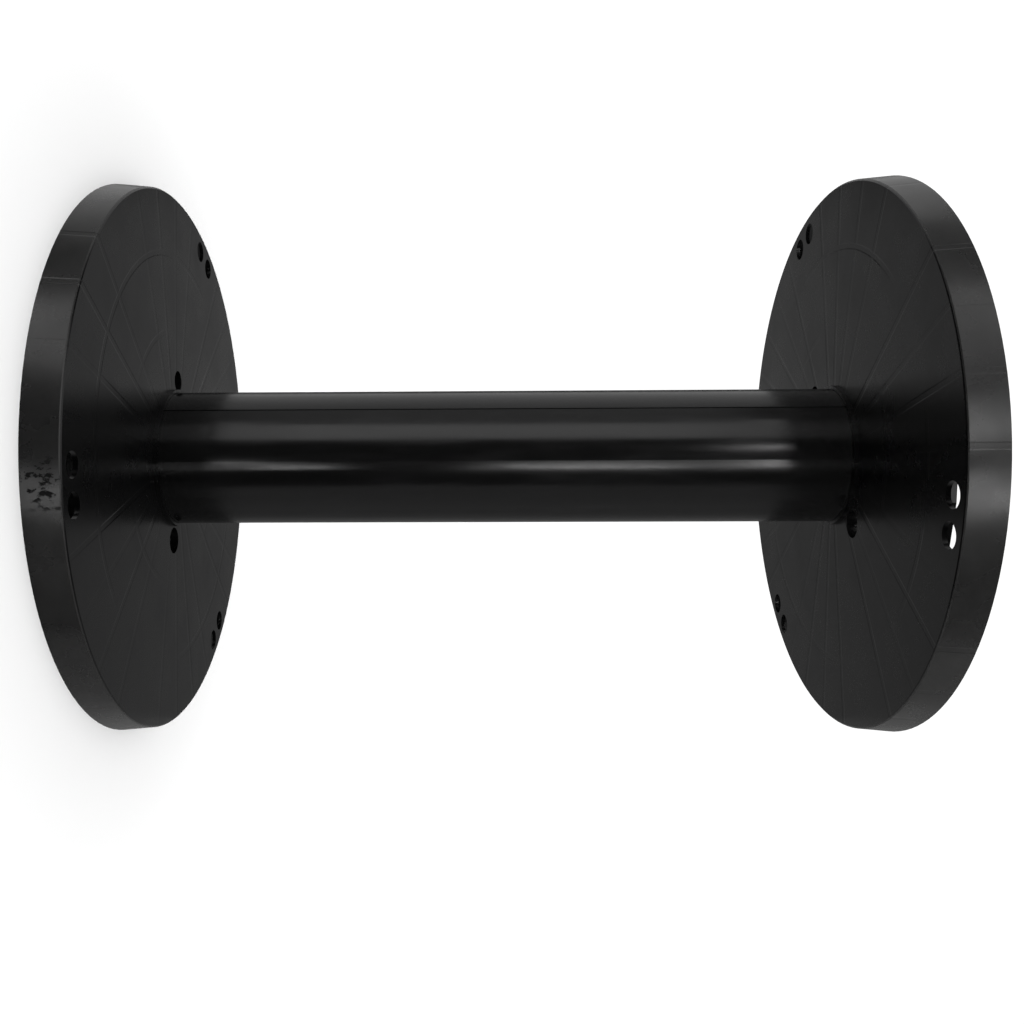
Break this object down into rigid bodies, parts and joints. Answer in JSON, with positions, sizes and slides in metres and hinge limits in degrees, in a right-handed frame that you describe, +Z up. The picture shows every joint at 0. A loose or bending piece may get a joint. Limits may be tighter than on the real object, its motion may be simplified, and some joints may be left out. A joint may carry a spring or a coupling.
{
  "type": "plastic cable reel",
  "caption": "Black moulded cable reel: ribbed, deep-rimmed flanges on a slit plastic barrel, clamped by tie rods, standing on one end.",
  "frame": {"origin": "centre of the reel, on its axle line halfway between the flanges", "axes": "+Z up along the axle line towards the upper flange, -Y the side that the picture shows, as it stands on its end"},
  "size_m": [0.404, 0.404, 0.546],
  "materials": {
    "reel_plastic": "satin",
    "barrel_plastic": "smooth",
    "zinc_steel": "zinc plated"
  },
  "bodies": {
    "root": {"flange_lower": "reel_plastic", "flange_upper": "reel_plastic", "barrel": "barrel_plastic", "tie_rod_1": "zinc_steel", "tie_rod_2": "zinc_steel", "tie_rod_3": "zinc_steel"}
  },
  "joints": []
}
